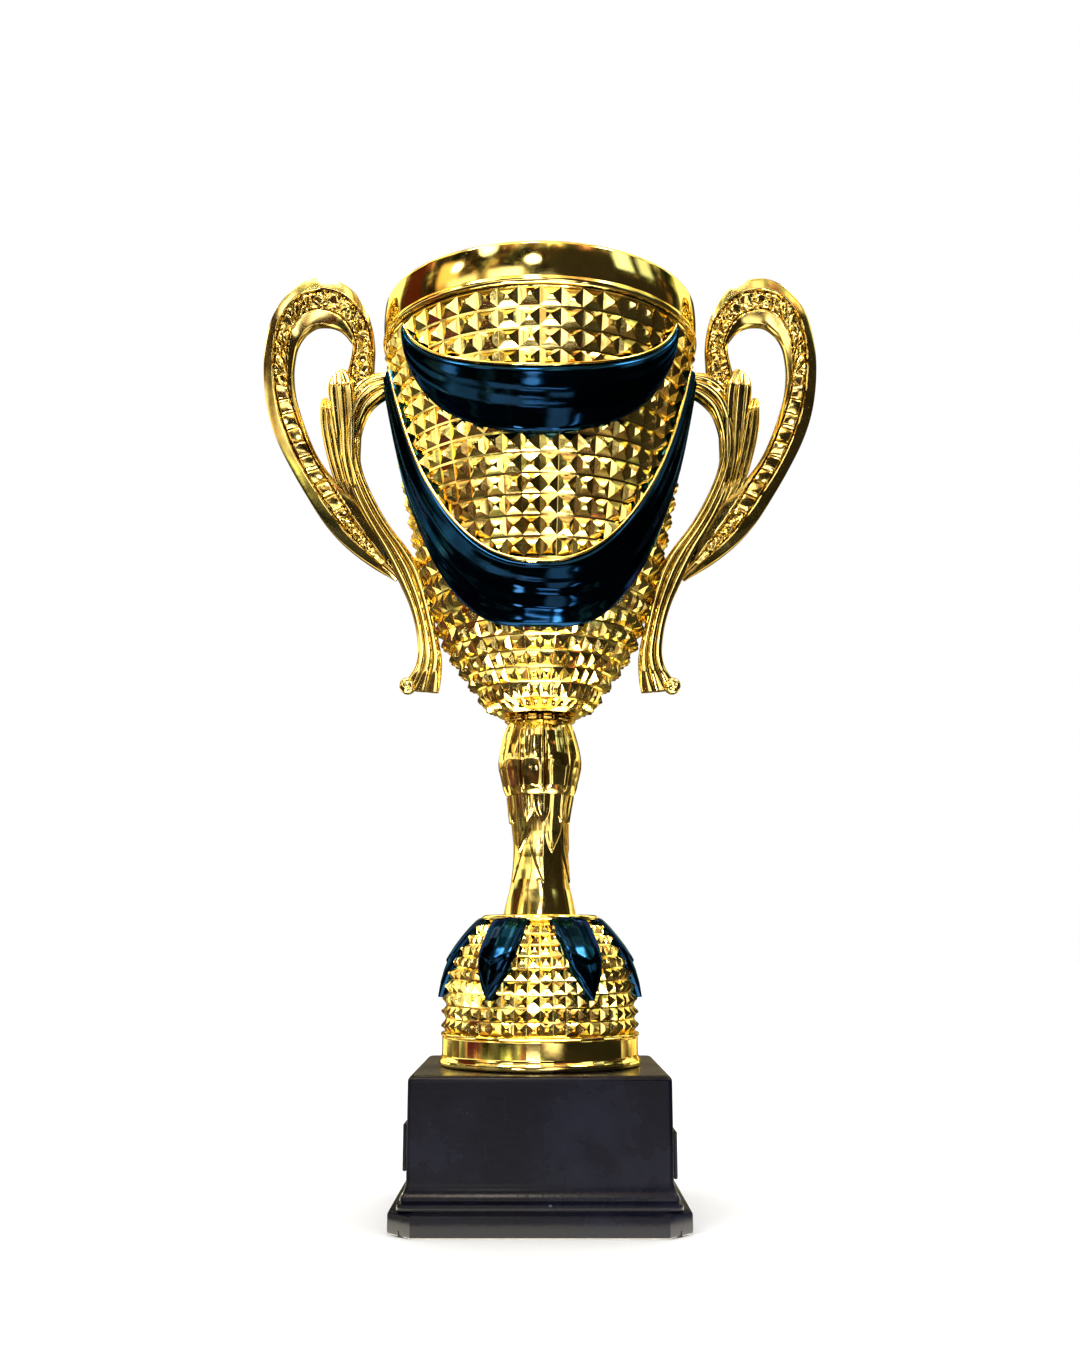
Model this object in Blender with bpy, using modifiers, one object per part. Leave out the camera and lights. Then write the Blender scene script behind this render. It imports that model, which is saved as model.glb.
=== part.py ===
"""A two-handled cup trophy: square black plinth, domed foot, stem, studded bowl, swags, handles.

Metres, +Z up, the cup's axis on Z and the plinth's underside at Z = 0. The front faces -Y.
"""

import math

import bmesh
import bpy
from mathutils import Matrix, Vector

MM = 0.001
GAP = 0.3 * MM  # clearance between pieces that touch on the real object
ROUND_STEPS = 40  # facets round the bowl, rim and foot
STEM_STEPS = 24

# Plinth: moulded shell, open underneath. Each section is (half width, corner cut, height).
PLINTH_SECTIONS = [
    (50.0, 8.1, 0.0),
    (50.0, 8.1, 7.2),
    (47.4, 7.4, 8.0),
    (46.8, 1.6, 8.1),
    (46.8, 1.6, 9.8),
    (45.8, 1.4, 10.4),
    (45.8, 1.4, 12.2),
    (44.7, 1.3, 13.4),
    (44.0, 1.2, 16.0),
    (44.0, 1.2, 48.9),
    (42.8, 1.8, 50.1),
]
BLOCK_HALF = 44.0 * MM
PLINTH_CAVITY_HALF = 40.6 * MM
PLINTH_CAVITY_TOP = 47.3 * MM
PAD_HALF = 46.0 * MM
PAD_THICK = 1.5 * MM
BALLAST_HALF = 35.0 * MM
BALLAST_THICK = 20.0 * MM
BALLAST_BEVEL = 2.0 * MM

# Blank plates stuck on the sides of the plinth block, by hand, so not quite level with each other.
PLATE_LENGTH = 78.0 * MM
PLATE_HEIGHT = 15.2 * MM
PLATE_THICK = 1.3 * MM
PLATE_BEVEL = 0.35 * MM
PLATE_CENTRES = {"left": 26.8 * MM, "right": 24.3 * MM}

# Turned profiles, (radius, height) from the top down their outer side.
DOME_KNOTS = [
    (19.0, 101.4),
    (22.2, 100.5),
    (27.3, 94.5),
    (31.5, 87.3),
    (34.0, 79.0),
    (35.0, 69.4),
    (35.0, 61.8),
]
DOME_FOOT = [(35.5, 60.6), (35.6, 54.2), (36.3, 52.8), (36.3, 50.4)]
DOME_WALL = 1.6 * MM
DISC_RADIUS = 21.1 * MM
DISC_Z = (101.7 * MM, 103.3 * MM)
STEM_KNOTS = [(11.8, 147.2), (10.5, 138.7), (10.2, 129.0), (10.6, 120.1), (11.7, 112.8), (13.6, 103.6)]
KNOP_KNOTS = [(12.0, 174.9), (13.8, 169.0), (15.2, 162.5), (15.3, 157.6), (13.9, 150.6), (12.6, 147.5)]
COLLAR_RADIUS = 13.0 * MM
COLLAR_Z = (175.2 * MM, 177.5 * MM)
BOWL_KNOTS = [
    (61.2, 324.6),
    (58.3, 305.7),
    (55.9, 288.9),
    (52.4, 264.1),
    (45.8, 231.7),
    (40.9, 215.7),
    (36.2, 203.9),
    (30.3, 194.9),
    (24.8, 187.1),
    (17.0, 177.8),
]
BOWL_WALL = 2.0 * MM
BOWL_FLOOR = 181.0 * MM
# The rim's section: flat lip, smooth band, bead, and a spigot that drops inside the bowl.
RIM_SECTION = [
    (59.7, 341.5),
    (61.3, 341.5),
    (62.1, 340.7),
    (61.8, 327.6),
    (62.4, 326.9),
    (62.4, 325.6),
    (61.6, 324.9),
    (58.9, 324.9),
    (57.6, 323.6),
    (56.8, 318.0),
    (55.8, 318.0),
    (56.6, 324.6),
    (59.4, 329.0),
]

# Swags: bands laid on the bowl. Angles are from the middle of the swag, heights above the table.
SWAG_LIFT = 0.5 * MM
SWAG_THICK = 1.6 * MM
SWAG_GRID = (24, 3)
UPPER_SWAG_TURN = 0.97 * math.pi / 2  # how far round its curve the end of the crescent is
UPPER_SWAG_TOP = (math.radians(56.1), 322.1, 27.2, 1.25)  # angle at the end, height there, sag, power
UPPER_SWAG_BOTTOM = (math.radians(57.0), 318.9, 47.5, 1.0)
LOWER_SWAG_TOP = (math.radians(77.0), 226.5, 86.0, 2.4)  # angle at the end, lowest height, rise, power
LOWER_SWAG_BOTTOM = (math.radians(83.5), 204.8, 98.0, 3.25)

# Petals: six leaves hanging from the disc down the dome.
PETAL_COUNT = 6
PETAL_FIRST = math.radians(30.0)
PETAL_Z = (100.3 * MM, 73.2 * MM)
PETAL_HALF_WIDTH = 7.3 * MM
PETAL_SHOULDER = 0.35  # share of the length that stays at full width
PETAL_TIP_TURN = math.radians(84.0)
PETAL_LIFT = 0.4 * MM
PETAL_THICK = 1.8 * MM
PETAL_GRID = (4, 8)

# Handles: flat castings. Outline of the right one as (X, Z), the part beside the bowl cut away to fit it.
HANDLE_HALF_THICK = 4.0 * MM
HANDLE_OUTLINE = [
    (56.0, 315.5),
    (63.0, 315.6),
    (66.4, 318.4),
    (66.3, 329.0),
    (70.0, 343.3),
    (78.5, 353.8),
    (88.9, 356.7),
    (99.5, 352.0),
    (107.2, 340.5),
    (110.1, 320.0),
    (107.0, 297.2),
    (97.9, 276.4),
    (85.3, 255.9),
    (72.0, 242.0),
    (58.0, 231.2),
    (50.6, 223.0),
    (47.2, 210.0),
    (46.8, 199.5),
    (49.4, 193.0),
    (53.2, 188.6),
    (50.4, 185.9),
    (44.5, 187.6),
    (39.0, 185.9),
    (38.0, 193.0),
    (37.4, 199.5),
    (34.0, 206.0),
    (39.0, 226.0),
    (44.0, 238.0),
    (51.4, 243.8),
    (58.3, 253.0),
    (65.2, 264.8),
    (70.2, 277.5),
    (71.3, 287.5),
    (69.0, 298.5),
    (63.4, 305.3),
    (56.0, 307.6),
]
HANDLE_HOLE = [
    (92.5, 336.2),
    (84.5, 337.2),
    (77.3, 331.6),
    (73.8, 324.0),
    (78.5, 319.5),
    (83.6, 311.5),
    (86.9, 302.5),
    (86.6, 294.0),
    (84.2, 283.0),
    (79.8, 270.8),
    (84.5, 276.0),
    (90.9, 288.8),
    (96.0, 303.0),
    (98.5, 316.5),
    (97.5, 328.0),
]

# Fasteners.
ROD_RADIUS = 3.0 * MM
ROD_HOLE_RADIUS = 3.4 * MM
ROD_Z = (17.0 * MM, 193.0 * MM)
NUT_RADIUS = 5.5 * MM
NUT_HEIGHT = 4.6 * MM
WASHER_RADIUS = 9.0 * MM
WASHER_THICK = 1.2 * MM
SCREW_RADIUS = 1.5 * MM
SCREW_HEAD_RADIUS = 3.2 * MM
SCREW_HEAD_HEIGHT = 2.0 * MM
SCREW_HEAD_CROWN = (0.6 * SCREW_HEAD_RADIUS, 0.8 * MM)  # radius of the flat top, depth of the rounding
SCREW_LENGTH = 8.0 * MM
SCREW_HEIGHTS = {"upper": 311.4 * MM, "lower": 224.0 * MM}


def clear_scene():
    for obj in list(bpy.data.objects):
        bpy.data.objects.remove(obj, do_unlink=True)


def new_collection(name):
    collection = bpy.data.collections.new(name)
    bpy.context.scene.collection.children.link(collection)
    return collection


def new_material(name, colour, metallic, roughness):
    material = bpy.data.materials.new(name)
    material.use_nodes = True
    shader = material.node_tree.nodes["Principled BSDF"]
    shader.inputs["Base Color"].default_value = (*colour, 1.0)
    shader.inputs["Metallic"].default_value = metallic
    shader.inputs["Roughness"].default_value = roughness
    return material


clear_scene()
TROPHY = new_collection("cup_trophy")
CUTTERS = new_collection("cutters")
GOLD = new_material("gold_plate", (0.92, 0.62, 0.14), 1.0, 0.18)
LACQUER = new_material("blue_lacquer", (0.012, 0.03, 0.075), 0.35, 0.12)
PLASTIC = new_material("black_plastic", (0.018, 0.018, 0.026), 0.0, 0.42)
STEEL = new_material("zinc_steel", (0.62, 0.62, 0.6), 1.0, 0.35)
BALLAST = new_material("ballast", (0.45, 0.43, 0.4), 0.0, 0.9)
FOAM = new_material("foam_pad", (0.03, 0.03, 0.03), 0.0, 0.95)


def place(obj, material=None, collection=TROPHY):
    """Moves an object into its collection and gives it its material."""
    for old in list(obj.users_collection):
        old.objects.unlink(obj)
    collection.objects.link(obj)
    if material:
        obj.data.materials.clear()
        obj.data.materials.append(material)
    if collection is CUTTERS:
        obj.hide_render = True
        obj.display_type = "WIRE"
    return obj


def shade_round(obj, angle=35.0):
    obj.data.shade_smooth()
    obj.data.set_sharp_from_angle(angle=math.radians(angle))


def smooth_points(knots, per_span):
    """Catmull-Rom points through (radius, height) knots in millimetres, returned in metres."""
    first = Vector(knots[0]) * 2 - Vector(knots[1])
    last = Vector(knots[-1]) * 2 - Vector(knots[-2])
    padded = [first, *map(Vector, knots), last]
    points = []
    for a, b, c, d in zip(padded, padded[1:], padded[2:], padded[3:]):
        for step in range(per_span):
            t = step / per_span
            point = 0.5 * (
                2 * b + (c - a) * t + (2 * a - 5 * b + 4 * c - d) * t**2 + (3 * b - a - 3 * c + d) * t**3
            )
            points.append(point * MM)
    points.append(padded[-2] * MM)
    return points


def offset_inward(points, distance):
    """The same profile moved towards the axis along its own normal."""
    moved = []
    for index, point in enumerate(points):
        before = points[max(index - 1, 0)]
        after = points[min(index + 1, len(points) - 1)]
        along = (after - before).normalized()
        moved.append(point + Vector((along.y, -along.x)) * distance)
    return moved


def turned(name, profile, material=None, collection=TROPHY, steps=ROUND_STEPS):
    """A closed (radius, height) profile turned about Z with a Screw modifier."""
    on_axis = profile[0][0] == 0.0
    mesh = bpy.data.meshes.new(name)
    edges = [(i, i + 1) for i in range(len(profile) - 1)]
    if not on_axis:
        edges.append((len(profile) - 1, 0))
    mesh.from_pydata([(r, 0.0, z) for r, z in profile], edges, [])
    obj = bpy.data.objects.new(name, mesh)
    bpy.context.scene.collection.objects.link(obj)
    screw = obj.modifiers.new("turn", "SCREW")
    screw.steps = steps
    screw.render_steps = steps
    screw.use_merge_vertices = True
    screw.merge_threshold = 0.01 * MM
    screw.use_smooth_shade = True
    return place(obj, material, collection)


def ring(name, outer, inner, low, high, material, steps=ROUND_STEPS, collection=TROPHY):
    profile = [(inner, high), (outer, high), (outer, low), (inner, low)]
    return turned(name, profile, material, collection, steps)


def box(name, size, centre, material=None, collection=TROPHY):
    bpy.ops.mesh.primitive_cube_add(size=1.0, location=centre)
    obj = bpy.context.object
    obj.name = name
    obj.data.name = name
    obj.data.transform(Matrix.Diagonal((*size, 1.0)))
    return place(obj, material, collection)


def cylinder(name, radius, low, high, material=None, collection=TROPHY, sides=24):
    bpy.ops.mesh.primitive_cylinder_add(
        vertices=sides, radius=radius, depth=high - low, location=(0.0, 0.0, (low + high) / 2)
    )
    obj = bpy.context.object
    obj.name = name
    obj.data.name = name
    return place(obj, material, collection)


def boolean(obj, other, operation="DIFFERENCE"):
    modifier = obj.modifiers.new(operation.lower(), "BOOLEAN")
    modifier.operation = operation
    modifier.object = other
    return obj


def soften(obj, width):
    bevel = obj.modifiers.new("soft_edges", "BEVEL")
    bevel.width = width
    bevel.segments = 1
    bevel.limit_method = "ANGLE"
    return obj


def section_ring(bm, half, cut, height):
    """One eight-sided section: a square with its corners cut."""
    corners = []
    for sx, sy in ((1, 1), (-1, 1), (-1, -1), (1, -1)):
        first = (sx * half, sy * (half - cut), height)
        second = (sx * (half - cut), sy * half, height)
        corners += [first, second] if sx * sy > 0 else [second, first]
    verts = [bm.verts.new(Vector(corner) * MM) for corner in corners]
    return [bm.edges.new((a, b)) for a, b in zip(verts, verts[1:] + verts[:1])]


def stacked_sections(name, sections, material):
    """A solid lofted through square sections with cut corners."""
    bm = bmesh.new()
    rings = [section_ring(bm, *section) for section in sections]
    for low, high in zip(rings, rings[1:]):
        bmesh.ops.bridge_loops(bm, edges=low + high)
    bmesh.ops.contextual_create(bm, geom=rings[0])
    bmesh.ops.contextual_create(bm, geom=rings[-1])
    bmesh.ops.recalc_face_normals(bm, faces=bm.faces)
    mesh = bpy.data.meshes.new(name)
    bm.to_mesh(mesh)
    bm.free()
    obj = bpy.data.objects.new(name, mesh)
    bpy.context.scene.collection.objects.link(obj)
    return place(obj, material)


def build_plinth():
    shell = stacked_sections("plinth_shell", PLINTH_SECTIONS, PLASTIC)
    cavity = box(
        "cut_plinth_cavity",
        (2 * PLINTH_CAVITY_HALF, 2 * PLINTH_CAVITY_HALF, 2 * PLINTH_CAVITY_TOP),
        (0.0, 0.0, 0.0),
        collection=CUTTERS,
    )
    recess_half = PAD_HALF + GAP
    recess_top = PAD_THICK + GAP
    recess = box(
        "cut_plinth_recess",
        (2 * recess_half, 2 * recess_half, 2 * recess_top),
        (0.0, 0.0, 0.0),
        collection=CUTTERS,
    )
    rod_hole = cylinder("cut_rod_hole", ROD_HOLE_RADIUS, *ROD_Z, collection=CUTTERS)
    for cutter in (cavity, recess, rod_hole):
        boolean(shell, cutter)

    box("base_pad", (2 * PAD_HALF, 2 * PAD_HALF, PAD_THICK), (0.0, 0.0, PAD_THICK / 2), FOAM)

    ballast_top = PLINTH_CAVITY_TOP - GAP
    ballast = box(
        "ballast_block",
        (2 * BALLAST_HALF, 2 * BALLAST_HALF, BALLAST_THICK),
        (0.0, 0.0, ballast_top - BALLAST_THICK / 2),
        BALLAST,
    )
    soften(ballast, BALLAST_BEVEL)
    boolean(ballast, rod_hole)
    return ballast_top - BALLAST_THICK


def build_side_plates():
    for side, sign in (("left", -1), ("right", 1)):
        plate = box(
            "side_plate_" + side,
            (PLATE_THICK, PLATE_LENGTH, PLATE_HEIGHT),
            (sign * (BLOCK_HALF + GAP + PLATE_THICK / 2), 0.0, PLATE_CENTRES[side]),
            PLASTIC,
        )
        soften(plate, PLATE_BEVEL)


def dome_profile():
    outer = smooth_points(DOME_KNOTS, 2)
    outer += [Vector(point) * MM for point in DOME_FOOT]
    return outer


def build_foot():
    outer = dome_profile()
    roof = outer[0].y
    inner = [point for point in offset_inward(outer, DOME_WALL)[1:-1:3] if point.y < roof - DOME_WALL]
    profile = [(ROD_HOLE_RADIUS, roof), *((p.x, p.y) for p in outer)]
    profile += [(outer[-1].x - DOME_WALL, outer[-1].y)]
    profile += [(p.x, p.y) for p in reversed(inner)]
    profile += [(ROD_HOLE_RADIUS, roof - DOME_WALL)]
    turned("foot_dome", profile, GOLD)
    ring("stem_base_disc", DISC_RADIUS, ROD_HOLE_RADIUS, *DISC_Z, GOLD)


def between(low, high, share):
    return low + (high - low) * share


def radius_on(points, height):
    """Radius of a profile, listed from the top down, at a height."""
    for upper, lower in zip(points, points[1:]):
        if lower.y <= height <= upper.y:
            return between(upper.x, lower.x, (upper.y - height) / (upper.y - lower.y))
    return points[0].x if height > points[0].y else points[-1].x


def laid_patch(name, place_point, grid, thick, material):
    """A grid bent onto a turned surface by place_point(u, v), then thickened outwards."""
    bm = bmesh.new()
    bmesh.ops.create_grid(bm, x_segments=grid[0], y_segments=grid[1], size=1.0)
    for vert in bm.verts:
        vert.co = place_point(vert.co.x, vert.co.y)
    bmesh.ops.recalc_face_normals(bm, faces=bm.faces)
    middle = min(bm.faces, key=lambda face: face.calc_center_median().y)
    if middle.normal.y > 0:
        bmesh.ops.reverse_faces(bm, faces=bm.faces)
    mesh = bpy.data.meshes.new(name)
    bm.to_mesh(mesh)
    bm.free()
    obj = bpy.data.objects.new(name, mesh)
    bpy.context.scene.collection.objects.link(obj)
    place(obj, material)
    shell = obj.modifiers.new("thickness", "SOLIDIFY")
    shell.thickness = thick
    shell.offset = 1.0
    shade_round(obj)
    return obj


def on_surface(profile, angle, height, lift):
    """A point at an angle from the front (-Y), at a height, lifted off a turned surface."""
    radius = radius_on(profile, height) + lift
    return Vector((radius * math.sin(angle), -radius * math.cos(angle), height))


def build_petals():
    profile = dome_profile()
    top, tip = PETAL_Z

    def petal_point(u, v):
        share = (1.0 - v) / 2.0
        height = between(top, tip, share)
        past_shoulder = max(0.0, (share - PETAL_SHOULDER) / (1.0 - PETAL_SHOULDER))
        half_width = PETAL_HALF_WIDTH * math.cos(PETAL_TIP_TURN * past_shoulder)
        half_angle = half_width / radius_on(profile, height)
        return on_surface(profile, u * half_angle, height, PETAL_LIFT)

    for index in range(PETAL_COUNT):
        petal = laid_patch(f"dome_petal_{index + 1}", petal_point, PETAL_GRID, PETAL_THICK, LACQUER)
        petal.rotation_euler.z = PETAL_FIRST + index * 2 * math.pi / PETAL_COUNT


def build_stem():
    for name, knots in (("stem_column", STEM_KNOTS), ("stem_knop", KNOP_KNOTS)):
        outer = [(p.x, p.y) for p in smooth_points(knots, 2)]
        top = outer[0][1]
        low = outer[-1][1]
        turned(name, [(ROD_HOLE_RADIUS, top), *outer, (ROD_HOLE_RADIUS, low)], GOLD, steps=STEM_STEPS)
    ring("stem_collar", COLLAR_RADIUS, ROD_HOLE_RADIUS, *COLLAR_Z, GOLD, steps=STEM_STEPS)


def bowl_profile():
    return smooth_points(BOWL_KNOTS, 2)


def build_bowl():
    outer = bowl_profile()
    inner = [point for point in offset_inward(outer, BOWL_WALL)[::2] if point.y > BOWL_FLOOR + 2 * MM]
    inner[0] = Vector((outer[0].x - BOWL_WALL, outer[0].y))
    low = outer[-1].y
    profile = [(p.x, p.y) for p in outer]
    profile += [(ROD_HOLE_RADIUS, low), (ROD_HOLE_RADIUS, BOWL_FLOOR), (inner[-1].x - MM, BOWL_FLOOR)]
    profile += [(p.x, p.y) for p in reversed(inner)]
    bowl = turned("bowl_shell", profile, GOLD)
    turned("rim_band", [(r * MM, z * MM) for r, z in RIM_SECTION], GOLD)
    return bowl


def upper_swag_edge(edge, along):
    """Angle and height on one edge of the crescent, from its middle (0) to its end (1)."""
    end_angle, end_height, sag, power = edge
    turn = UPPER_SWAG_TURN * along
    return end_angle * math.sin(turn), end_height - sag * math.cos(turn) ** power


def lower_swag_edge(edge, along):
    end_angle, low_height, rise, power = edge
    return end_angle * along, low_height + rise * along**power


def swag_point(profile, edge_point, top_edge, bottom_edge):
    def point(u, v):
        share = (1.0 + v) / 2.0
        top_angle, top_height = edge_point(top_edge, abs(u))
        bottom_angle, bottom_height = edge_point(bottom_edge, abs(u))
        angle = math.copysign(between(bottom_angle, top_angle, share), u)
        return on_surface(profile, angle, between(bottom_height, top_height, share) * MM, SWAG_LIFT)

    return point


def build_swags():
    profile = bowl_profile()
    upper = swag_point(profile, upper_swag_edge, UPPER_SWAG_TOP, UPPER_SWAG_BOTTOM)
    lower = swag_point(profile, lower_swag_edge, LOWER_SWAG_TOP, LOWER_SWAG_BOTTOM)
    for name, point in (("upper", upper), ("lower", lower)):
        for side, turn in (("front", 0.0), ("back", math.pi)):
            swag = laid_patch(f"{name}_swag_{side}", point, SWAG_GRID, SWAG_THICK, LACQUER)
            swag.rotation_euler.z = turn


def bezier_spline(curve, knots):
    spline = curve.splines.new("BEZIER")
    spline.bezier_points.add(len(knots) - 1)
    for point, (x, z) in zip(spline.bezier_points, knots):
        point.co = (x * MM, z * MM, 0.0)
        point.handle_left_type = "AUTO"
        point.handle_right_type = "AUTO"
    spline.use_cyclic_u = True


def mesh_from_curve(obj, name):
    """Turns a filled curve object into a welded mesh object at the same place."""
    graph = bpy.context.evaluated_depsgraph_get()
    mesh = bpy.data.meshes.new_from_object(obj.evaluated_get(graph))
    bm = bmesh.new()
    bm.from_mesh(mesh)
    bmesh.ops.remove_doubles(bm, verts=bm.verts, dist=0.001 * MM)
    bmesh.ops.recalc_face_normals(bm, faces=bm.faces)
    bm.to_mesh(mesh)
    bm.free()
    made = bpy.data.objects.new(name, mesh)
    bpy.context.scene.collection.objects.link(made)
    made.matrix_world = obj.matrix_world.copy()
    bpy.data.objects.remove(obj, do_unlink=True)
    return made


def handle_mesh(name):
    curve = bpy.data.curves.new(name + "_outline", "CURVE")
    curve.dimensions = "2D"
    curve.fill_mode = "BOTH"
    curve.extrude = HANDLE_HALF_THICK
    curve.resolution_u = 3
    bezier_spline(curve, HANDLE_OUTLINE)
    bezier_spline(curve, HANDLE_HOLE)
    outline = bpy.data.objects.new(name + "_outline", curve)
    bpy.context.scene.collection.objects.link(outline)
    outline.rotation_euler.x = math.pi / 2
    bpy.context.view_layer.update()
    return mesh_from_curve(outline, name)


def screw_frame(level):
    """Where a handle screw crosses the bowl's outer wall, and the direction it points, on the right."""
    profile = bowl_profile()
    height = SCREW_HEIGHTS[level]
    step = 2 * MM
    slope = (radius_on(profile, height + step) - radius_on(profile, height - step)) / (2 * step)
    return Vector((radius_on(profile, height), 0.0, height)), -math.atan(slope)


def screw_cutter(level, side, sign):
    centre, lean = screw_frame(level)
    bpy.ops.mesh.primitive_cylinder_add(
        vertices=12, radius=SCREW_RADIUS + GAP, depth=2 * (SCREW_LENGTH - BOWL_WALL + GAP)
    )
    cutter = bpy.context.object
    cutter.name = f"cut_screw_{level}_{side}"
    cutter.location = (sign * centre.x, 0.0, centre.z)
    cutter.rotation_euler = (0.0, sign * (math.pi / 2 - lean), 0.0)
    return place(cutter, collection=CUTTERS)


def build_handle_screw(level, side, sign):
    """A round-head screw from inside the bowl, through its wall and into the handle."""
    centre, lean = screw_frame(level)
    under_head = -BOWL_WALL - 2 * GAP
    top = under_head - SCREW_HEAD_HEIGHT
    profile = [
        (0.0, under_head + SCREW_LENGTH),
        (SCREW_RADIUS, under_head + SCREW_LENGTH),
        (SCREW_RADIUS, under_head),
        (SCREW_HEAD_RADIUS, under_head),
        (SCREW_HEAD_RADIUS, top + SCREW_HEAD_CROWN[1]),
        (SCREW_HEAD_CROWN[0], top),
        (0.0, top),
    ]
    screw = turned(f"handle_screw_{level}_{side}", profile, STEEL, steps=12)
    screw.location = (sign * centre.x, 0.0, centre.z)
    screw.rotation_euler = (0.0, sign * (math.pi / 2 - lean), 0.0)


def build_handles(bowl):
    fitted = bowl_profile()
    clearance = [(p.x + GAP, p.y) for p in fitted]
    clearance = [(0.0, fitted[0].y + 5 * MM), (clearance[0][0], fitted[0].y + 5 * MM), *clearance]
    clearance += [(0.0, fitted[-1].y)]
    bowl_cutter = turned("cut_bowl_clearance", clearance, collection=CUTTERS)
    for side, sign in (("right", 1), ("left", -1)):
        handle = place(handle_mesh("handle_" + side), GOLD)
        if sign < 0:
            handle.data.transform(Matrix.Diagonal((-1.0, 1.0, 1.0, 1.0)))
            handle.data.flip_normals()
        boolean(handle, bowl_cutter)
        for level in SCREW_HEIGHTS:
            cutter = screw_cutter(level, side, sign)
            boolean(handle, cutter)
            boolean(bowl, cutter)
            build_handle_screw(level, side, sign)


def hex_nut(name, low):
    nut = cylinder(name, NUT_RADIUS, low, low + NUT_HEIGHT, STEEL, sides=6)
    bore = cylinder("cut_" + name, ROD_HOLE_RADIUS, low - MM, low + NUT_HEIGHT + MM, collection=CUTTERS)
    boolean(nut, bore)


def washer(name, low):
    ring(name, WASHER_RADIUS, ROD_HOLE_RADIUS, low, low + WASHER_THICK, STEEL, steps=24)


def build_tie_rod(ballast_low):
    cylinder("tie_rod", ROD_RADIUS, *ROD_Z, STEEL)
    washer("tie_rod_washer_bottom", ballast_low - GAP - WASHER_THICK)
    hex_nut("tie_rod_nut_bottom", ballast_low - 2 * GAP - WASHER_THICK - NUT_HEIGHT)
    washer("tie_rod_washer_top", BOWL_FLOOR + GAP)
    hex_nut("tie_rod_nut_top", BOWL_FLOOR + 2 * GAP + WASHER_THICK)


BALLAST_LOW = build_plinth()
build_side_plates()
build_foot()
build_petals()
build_stem()
BOWL = build_bowl()
build_swags()
build_handles(BOWL)
build_tie_rod(BALLAST_LOW)
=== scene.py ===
"""The cup trophy's looks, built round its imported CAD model: studded gold, blue lacquer, black plastic."""

import math

import bmesh
import bpy
import numpy as np
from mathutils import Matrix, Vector, noise
from mathutils.bvhtree import BVHTree


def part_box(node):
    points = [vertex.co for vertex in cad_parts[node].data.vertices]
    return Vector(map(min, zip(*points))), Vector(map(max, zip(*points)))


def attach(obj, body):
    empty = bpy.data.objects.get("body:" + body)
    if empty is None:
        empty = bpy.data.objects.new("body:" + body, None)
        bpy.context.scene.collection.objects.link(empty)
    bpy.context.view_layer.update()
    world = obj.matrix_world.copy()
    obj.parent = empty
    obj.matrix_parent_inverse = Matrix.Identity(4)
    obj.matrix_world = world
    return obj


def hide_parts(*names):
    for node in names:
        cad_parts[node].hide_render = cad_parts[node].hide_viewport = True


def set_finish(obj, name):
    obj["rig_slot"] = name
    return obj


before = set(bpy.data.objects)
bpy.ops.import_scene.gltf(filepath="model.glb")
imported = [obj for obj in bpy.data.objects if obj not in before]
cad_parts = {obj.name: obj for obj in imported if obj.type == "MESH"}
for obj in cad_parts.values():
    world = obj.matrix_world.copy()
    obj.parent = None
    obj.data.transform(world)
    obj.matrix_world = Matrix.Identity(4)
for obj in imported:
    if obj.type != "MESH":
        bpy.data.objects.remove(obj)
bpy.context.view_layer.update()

MM = 0.001
TAU = 2 * math.pi


# ---------------------------------------------------------------- shader node helpers


class Nodes:
    """Short calls that add and join shader nodes in one tree."""

    def __init__(self, tree):
        self.tree = tree
        tree.nodes.clear()

    def add(self, kind, settings=None, **inputs):
        node = self.tree.nodes.new("ShaderNode" + kind)
        for key, value in (settings or {}).items():
            setattr(node, key, value)
        self.wire(node, **inputs)
        return node

    def wire(self, node, **inputs):
        """Feeds a node's inputs by name, with _ for each space."""
        for key, value in inputs.items():
            self.feed(node.inputs[key.replace("_", " ")], value)

    def feed(self, socket, value):
        if isinstance(value, bpy.types.NodeSocket):
            self.tree.links.new(value, socket)
        else:
            socket.default_value = value

    def math(self, operation, *values):
        node = self.add("Math", {"operation": operation})
        for socket, value in zip(node.inputs, values):
            self.feed(socket, value)
        return node.outputs[0]

    def between(self, value, low, high, first, second):
        """first where value is low, second where it is high."""
        node = self.add("MapRange", Value=value, From_Min=low, From_Max=high, To_Min=first, To_Max=second)
        return node.outputs[0]

    def smooth(self, value, low, high):
        """0 below low and 1 above high, with a soft step between."""
        soft = {"interpolation_type": "SMOOTHSTEP"}
        return self.add("MapRange", soft, Value=value, From_Min=low, From_Max=high).outputs[0]

    def ramp(self, factor, stops):
        node = self.add("ValToRGB", Fac=factor)
        elements = node.color_ramp.elements
        while len(elements) < len(stops):
            elements.new(0.5)
        for element, (place, colour) in zip(elements, stops):
            element.position = place
            element.color = (*colour, 1.0)
        return node.outputs["Color"]

    def blend(self, factor, first, second):
        node = self.add("Mix", {"data_type": "RGBA"})
        self.feed(node.inputs[0], factor)
        for socket, value in ((node.inputs[6], first), (node.inputs[7], second)):
            self.feed(socket, value if isinstance(value, bpy.types.NodeSocket) else (*value, 1.0))
        return node.outputs[2]

    def noise(self, where, scale, detail=3.0, roughness=0.5):
        made = self.add("TexNoise", Vector=where, Scale=scale, Detail=detail, Roughness=roughness)
        return made.outputs[0]

    def bump(self, height, strength, distance):
        return self.add("Bump", Height=height, Strength=strength, Distance=distance).outputs[0]


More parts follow.
